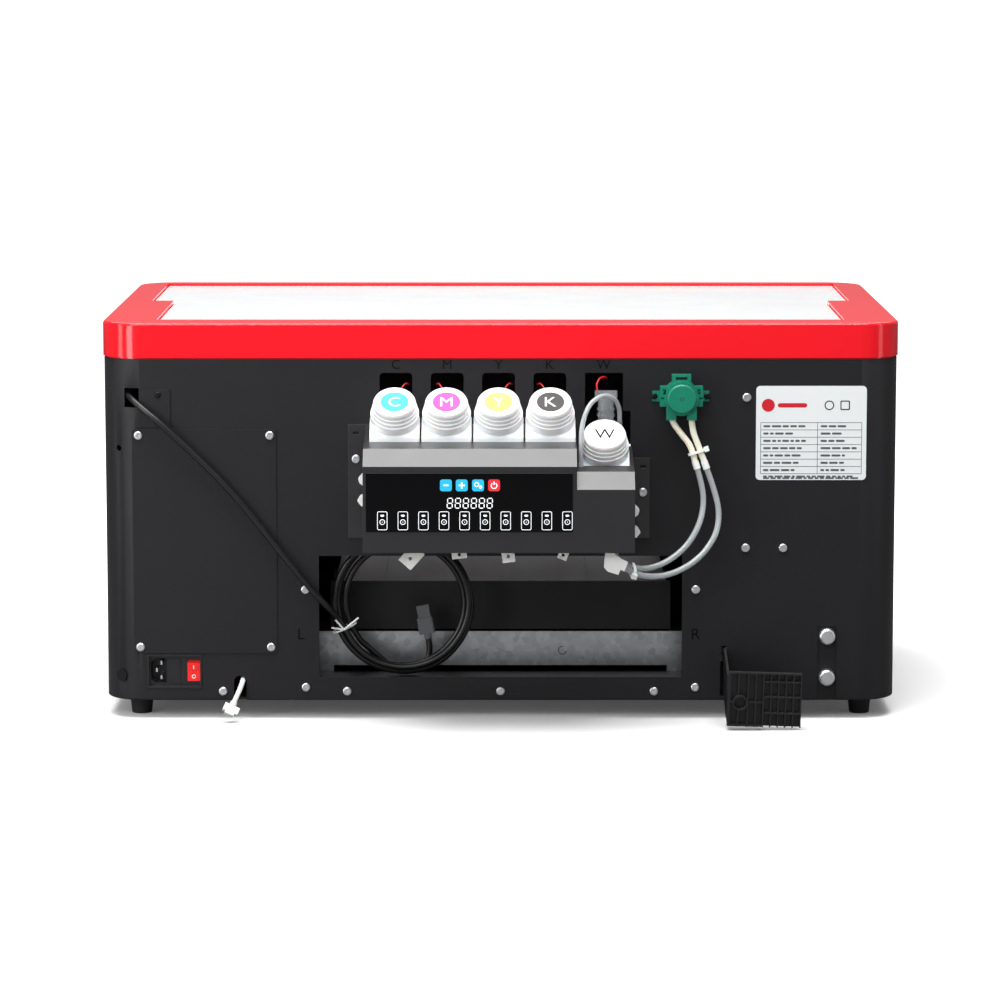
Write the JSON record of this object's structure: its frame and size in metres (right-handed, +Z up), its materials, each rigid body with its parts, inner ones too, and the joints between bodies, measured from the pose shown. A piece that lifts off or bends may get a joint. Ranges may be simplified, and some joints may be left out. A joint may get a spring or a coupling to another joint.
{
  "type": "flatbed uv printer",
  "caption": "Desktop flatbed UV printer with a red windowed lid, rear ink tanks and touch panel, peristaltic pump, sliding bed, gantry carriage and service cords.",
  "frame": {"origin": "middle of the footprint, on the surface that the feet stand on", "axes": "+X right as seen from behind the machine, +Y from the rear service panel to the front, +Z up"},
  "size_m": [0.76, 0.6232, 0.381],
  "materials": {
    "black_paint": "fine-textured black powder coat",
    "red_gloss": "high-gloss red lacquer",
    "milky_acrylic": "milky white acrylic",
    "black_plastic": "satin moulded",
    "black_glass": "polished black touch glass",
    "black_rubber": "matt",
    "black_steel": "blackened",
    "bright_steel": "zinc plated",
    "ground_steel": "ground",
    "galvanised_steel": "galvanised spangle",
    "grey_aluminium": "anodised",
    "white_plastic": "moulded polyethylene",
    "clear_plastic": "clear moulded",
    "clear_tube": "clear flexible tube",
    "cream_silicone": "satin silicone",
    "pump_green": "moulded green",
    "red_wire": "insulated wire",
    "label_grey": "printed film",
    "board_green": "solder mask",
    "rocker_red": "translucent red",
    "black_cable": "PVC jacket"
  },
  "bodies": {
    "housing": {"body_shell": "black_paint", "base_pan": "black_paint", "front_panel": "black_paint", "access_cover": "black_paint", "panel_screws": "bright_steel", "cable_plate": "black_paint", "black_fasteners": "black_steel", "feet": "black_rubber", "lid_frame": "red_gloss", "ink_station": "black_paint", "control_glass": "black_glass", "circuit_boards": "board_green", "colour_tanks": "white_plastic", "white_tank": "white_plastic", "circulation_pump": "clear_plastic", "circulation_hose": "clear_tube", "sensor_leads": "red_wire", "pump_body": "pump_green", "pump_cap": "pump_green", "pump_tube": "cream_silicone", "pump_hose_inner": "clear_tube", "pump_hose_outer": "clear_tube", "tube_clips": "white_plastic", "rating_label": "label_grey", "power_inlet": "black_plastic", "usb_lead": "black_cable", "usb_hank": "black_cable", "usb_plug": "clear_plastic", "twist_tie": "white_plastic", "drain_tube": "clear_tube", "drain_clamp": "white_plastic", "waste_tray_cover": "black_plastic", "cross_beams": "galvanised_steel", "gantry_frame": "bright_steel", "guide_rails": "ground_steel", "drive_belt": "black_rubber", "drive_motors": "black_steel", "power_supply": "galvanised_steel", "capping_station": "white_plastic"},
    "window": {"window_panel": "milky_acrylic", "window_hinges": "black_plastic"},
    "cap_cyan": {"cap_cyan": "white_plastic"},
    "cap_magenta": {"cap_magenta": "white_plastic"},
    "cap_yellow": {"cap_yellow": "white_plastic"},
    "cap_black": {"cap_black": "white_plastic"},
    "cap_white": {"cap_white": "white_plastic"},
    "rocker": {"rocker_switch": "rocker_red"},
    "pump_rotor": {"pump_rotor": "white_plastic"},
    "carriage": {"head_carriage": "black_plastic", "print_head": "ground_steel", "uv_lamp": "grey_aluminium"},
    "drive_pulley": {"drive_pulley": "grey_aluminium"},
    "idler_pulley": {"idler_pulley": "grey_aluminium"},
    "bed_slide": {"bed_cradle": "black_paint"},
    "bed_top": {"bed_plate": "grey_aluminium"},
    "lift_screw": {"lift_screw": "ground_steel"},
    "feed_screw": {"feed_screw": "ground_steel"},
    "psu_fan": {"psu_fan": "black_plastic"},
    "power_button": {"power_button": "black_plastic"},
    "feed_button": {"feed_button": "black_plastic"}
  },
  "joints": [
    {"name": "window_hinge", "type": "hinge", "parent": "housing", "child": "window", "pos_m": [0, -0.163, 0.371], "axis": [1, 0, 0], "range_deg": [0, 95]},
    {"name": "cap_cyan_turn", "type": "hinge", "parent": "housing", "child": "cap_cyan", "pos_m": [-0.0993, -0.25423, 0.29454], "axis": [0, -0.6018, 0.7986], "continuous": true},
    {"name": "cap_magenta_turn", "type": "hinge", "parent": "housing", "child": "cap_magenta", "pos_m": [-0.0506, -0.25423, 0.29454], "axis": [0, -0.6018, 0.7986], "continuous": true},
    {"name": "cap_yellow_turn", "type": "hinge", "parent": "housing", "child": "cap_yellow", "pos_m": [-0.0019, -0.25423, 0.29454], "axis": [0, -0.6018, 0.7986], "continuous": true},
    {"name": "cap_black_turn", "type": "hinge", "parent": "housing", "child": "cap_black", "pos_m": [0.0468, -0.25423, 0.29454], "axis": [0, -0.6018, 0.7986], "continuous": true},
    {"name": "cap_white_turn", "type": "hinge", "parent": "housing", "child": "cap_white", "pos_m": [0.0977, -0.25423, 0.26434], "axis": [0, -0.6018, 0.7986], "continuous": true},
    {"name": "rocker_tip", "type": "hinge", "parent": "housing", "child": "rocker", "pos_m": [-0.2941, -0.202, 0.0462], "axis": [1, 0, 0], "range_deg": [-14, 0]},
    {"name": "pump_rotor_spin", "type": "hinge", "parent": "housing", "child": "pump_rotor", "pos_m": [0.171, -0.229, 0.3116], "axis": [0, 1, 0], "continuous": true},
    {"name": "carriage_travel", "type": "slide", "parent": "housing", "child": "carriage", "axis": [1, 0, 0], "range_m": [-0.445, 0]},
    {"name": "drive_pulley_spin", "type": "hinge", "parent": "housing", "child": "drive_pulley", "pos_m": [0.28, 0.074, 0.215], "axis": [0, 1, 0], "range_deg": [-2990, 5]},
    {"name": "idler_pulley_spin", "type": "hinge", "parent": "housing", "child": "idler_pulley", "pos_m": [-0.28, 0.074, 0.215], "axis": [0, 1, 0], "range_deg": [-2990, 5]},
    {"name": "bed_feed", "type": "slide", "parent": "housing", "child": "bed_slide", "axis": [0, 1, 0], "range_m": [-0.012, 0.1]},
    {"name": "feed_screw_spin", "type": "hinge", "parent": "housing", "child": "feed_screw", "pos_m": [0.06, 0, 0.056], "axis": [0, 1, 0], "range_deg": [-4505, 545]},
    {"name": "bed_lift", "type": "slide", "parent": "bed_slide", "child": "bed_top", "axis": [0, 0, 1], "range_m": [0, 0.028]},
    {"name": "lift_screw_spin", "type": "hinge", "parent": "bed_top", "child": "lift_screw", "pos_m": [0, 0.081, 0.1], "axis": [0, 0, 1], "range_deg": [-5, 2525]},
    {"name": "psu_fan_spin", "type": "hinge", "parent": "housing", "child": "psu_fan", "pos_m": [-0.292, -0.1, 0.113], "axis": [0, 1, 0], "continuous": true},
    {"name": "power_button_press", "type": "slide", "parent": "housing", "child": "power_button", "axis": [0, -1, 0], "range_m": [0, 0.0015], "stiffness_N_per_m": 200},
    {"name": "feed_button_press", "type": "slide", "parent": "housing", "child": "feed_button", "axis": [0, -1, 0], "range_m": [0, 0.0015], "stiffness_N_per_m": 200}
  ],
  "couplings": [
    {"joint": "drive_pulley_spin", "follows": "carriage_travel", "rad_per_m": 116.96},
    {"joint": "idler_pulley_spin", "follows": "carriage_travel", "rad_per_m": 116.96},
    {"joint": "feed_screw_spin", "follows": "bed_feed", "rad_per_m": -785.4},
    {"joint": "lift_screw_spin", "follows": "bed_lift", "rad_per_m": 1570.8}
  ]
}
